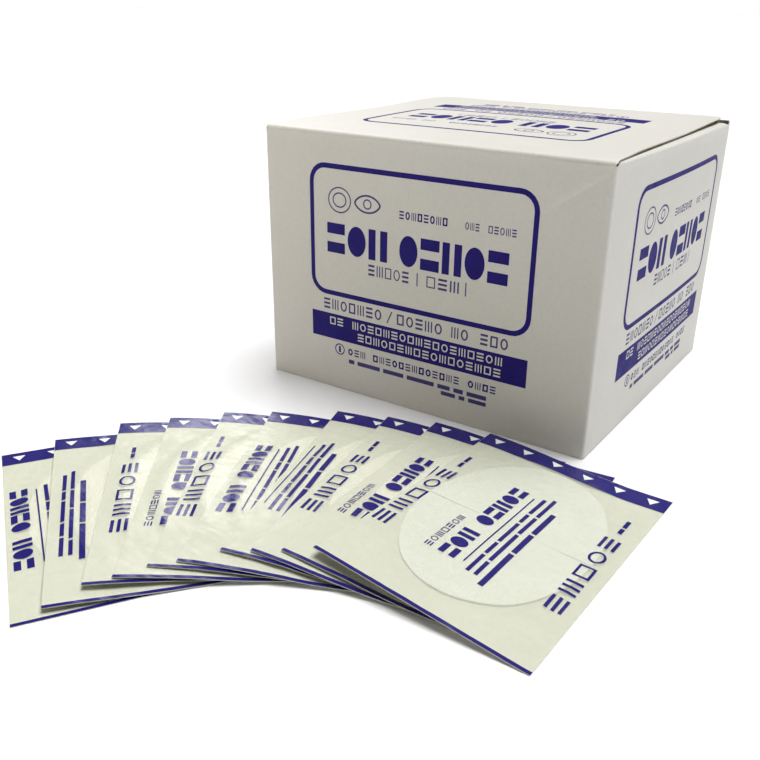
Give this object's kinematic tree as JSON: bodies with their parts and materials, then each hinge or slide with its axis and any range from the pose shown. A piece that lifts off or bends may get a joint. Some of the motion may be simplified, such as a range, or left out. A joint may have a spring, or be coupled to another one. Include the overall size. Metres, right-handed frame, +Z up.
{
  "type": "eye patch carton",
  "caption": "Folding carton of sterile adhesive eye patches with a hinged tuck lid and dust flaps, filled with flat peel packs, and a fan of loose packs in front of it.",
  "frame": {"origin": "centre of the carton's base, on the surface it stands on", "axes": "+Z up; -Y is the front, the side that the lid is hinged on and that the loose packs lie in front of; +X to the right seen from the front"},
  "size_m": [0.2076, 0.3095, 0.1072],
  "materials": {
    "carton_board": "white-coated folding boxboard, satin",
    "board_inside": "uncoated greyish board",
    "print_ink": "deep blue-violet offset ink, slight gloss",
    "pouch_paper": "smooth medical paper",
    "pouch_film": "translucent pale greenish film",
    "patch_backing": "soft non-woven",
    "patch_pad": "absorbent fleece",
    "release_liner": "silicone-coated, slight sheen"
  },
  "bodies": {
    "carton": {"front_wall": "carton_board", "back_wall": "carton_board", "right_wall": "carton_board", "left_wall": "carton_board", "glue_flap": "board_inside", "bottom_back_flap": "carton_board", "bottom_left_flap": "carton_board", "bottom_right_flap": "carton_board", "bottom_front_flap": "carton_board", "pack_row_left": "pouch_paper", "pack_row_right": "pouch_paper"},
    "lid": {"lid_panel": "carton_board"},
    "tuck": {"tuck_flap": "carton_board"},
    "dust_left": {"dust_flap_left": "carton_board"},
    "dust_right": {"dust_flap_right": "carton_board"},
    "pack_01": {"pack_01_back_sheet": "pouch_paper", "pack_01_front_film": "pouch_film", "pack_01_patch": "patch_backing"},
    "pack_02": {"pack_02_back_sheet": "pouch_paper", "pack_02_front_film": "pouch_film", "pack_02_patch": "patch_backing"},
    "pack_03": {"pack_03_back_sheet": "pouch_paper", "pack_03_front_film": "pouch_film", "pack_03_patch": "patch_backing"},
    "pack_04": {"pack_04_back_sheet": "pouch_paper", "pack_04_front_film": "pouch_film", "pack_04_patch": "patch_backing"},
    "pack_05": {"pack_05_back_sheet": "pouch_paper", "pack_05_front_film": "pouch_film", "pack_05_patch": "patch_backing"},
    "pack_06": {"pack_06_back_sheet": "pouch_paper", "pack_06_front_film": "pouch_film", "pack_06_patch": "patch_backing"},
    "pack_07": {"pack_07_back_sheet": "pouch_paper", "pack_07_front_film": "pouch_film", "pack_07_patch": "patch_backing"},
    "pack_08": {"pack_08_back_sheet": "pouch_paper", "pack_08_front_film": "pouch_film", "pack_08_patch": "patch_backing"},
    "pack_09": {"pack_09_back_sheet": "pouch_paper", "pack_09_front_film": "pouch_film", "pack_09_patch": "patch_backing"},
    "pack_10": {"pack_10_back_sheet": "pouch_paper"},
    "film": {"pack_10_front_film": "pouch_film"},
    "patch": {"pack_10_patch_backing": "patch_backing", "pack_10_patch_pad": "patch_pad"},
    "liner_upper": {"pack_10_liner_upper": "release_liner"},
    "liner_lower": {"pack_10_liner_lower": "release_liner"}
  },
  "joints": [
    {"name": "lid_hinge", "type": "hinge", "parent": "carton", "child": "lid", "pos_m": [0, -0.068, 0.1055], "axis": [1, 0, 0], "range_deg": [0, 125]},
    {"name": "tuck_hinge", "type": "hinge", "parent": "lid", "child": "tuck", "pos_m": [0, 0.06664, 0.10668], "axis": [1, 0, 0], "range_deg": [0, 70]},
    {"name": "dust_left_hinge", "type": "hinge", "parent": "carton", "child": "dust_left", "pos_m": [-0.073, 0, 0.10485], "axis": [0, -1, 0], "range_deg": [0, 115]},
    {"name": "dust_right_hinge", "type": "hinge", "parent": "carton", "child": "dust_right", "pos_m": [0.073, 0, 0.10485], "axis": [0, 1, 0], "range_deg": [0, 115]},
    {"name": "pack_01_lift", "type": "slide", "parent": "carton", "child": "pack_01", "axis": [0, 0, 1], "range_m": [0, 0.005]},
    {"name": "pack_02_lift", "type": "slide", "parent": "pack_01", "child": "pack_02", "axis": [0, 0, 1], "range_m": [0, 0.005]},
    {"name": "pack_03_lift", "type": "slide", "parent": "pack_02", "child": "pack_03", "axis": [0, 0, 1], "range_m": [0, 0.005]},
    {"name": "pack_04_lift", "type": "slide", "parent": "pack_03", "child": "pack_04", "axis": [0, 0, 1], "range_m": [0, 0.005]},
    {"name": "pack_05_lift", "type": "slide", "parent": "pack_04", "child": "pack_05", "axis": [0, 0, 1], "range_m": [0, 0.005]},
    {"name": "pack_06_lift", "type": "slide", "parent": "pack_05", "child": "pack_06", "axis": [0, 0, 1], "range_m": [0, 0.005]},
    {"name": "pack_07_lift", "type": "slide", "parent": "pack_06", "child": "pack_07", "axis": [0, 0, 1], "range_m": [0, 0.005]},
    {"name": "pack_08_lift", "type": "slide", "parent": "pack_07", "child": "pack_08", "axis": [0, 0, 1], "range_m": [0, 0.005]},
    {"name": "pack_09_lift", "type": "slide", "parent": "pack_08", "child": "pack_09", "axis": [0, 0, 1], "range_m": [0, 0.005]},
    {"name": "pack_10_lift", "type": "slide", "parent": "pack_09", "child": "pack_10", "axis": [0, 0, 1], "range_m": [0, 0.005]},
    {"name": "film_peel", "type": "hinge", "parent": "pack_10", "child": "film", "pos_m": [0.0706, -0.17805, 0.00449], "axis": [0.9917, -0.0346, -0.124], "range_deg": [0, 160]},
    {"name": "patch_lift", "type": "slide", "parent": "pack_10", "child": "patch", "axis": [0.124, -0.0043, 0.9923], "range_m": [0, 0.02]},
    {"name": "liner_upper_peel", "type": "hinge", "parent": "patch", "child": "liner_upper", "pos_m": [0.07388, -0.0866, 0.00517], "axis": [-0.9917, 0.0346, 0.124], "range_deg": [0, 85]},
    {"name": "liner_lower_peel", "type": "hinge", "parent": "patch", "child": "liner_lower", "pos_m": [0.07102, -0.16855, 0.00517], "axis": [0.9917, -0.0346, -0.124], "range_deg": [0, 85]}
  ],
  "couplings": [
    {"joint": "tuck_hinge", "follows": "lid_hinge", "ratio": 0.5},
    {"joint": "dust_left_hinge", "follows": "lid_hinge", "ratio": 0.9},
    {"joint": "dust_right_hinge", "follows": "lid_hinge", "ratio": 0.9},
    {"joint": "patch_lift", "follows": "film_peel", "m_per_rad": 0.007},
    {"joint": "liner_upper_peel", "follows": "film_peel", "ratio": 0.5},
    {"joint": "liner_lower_peel", "follows": "film_peel", "ratio": 0.5}
  ]
}
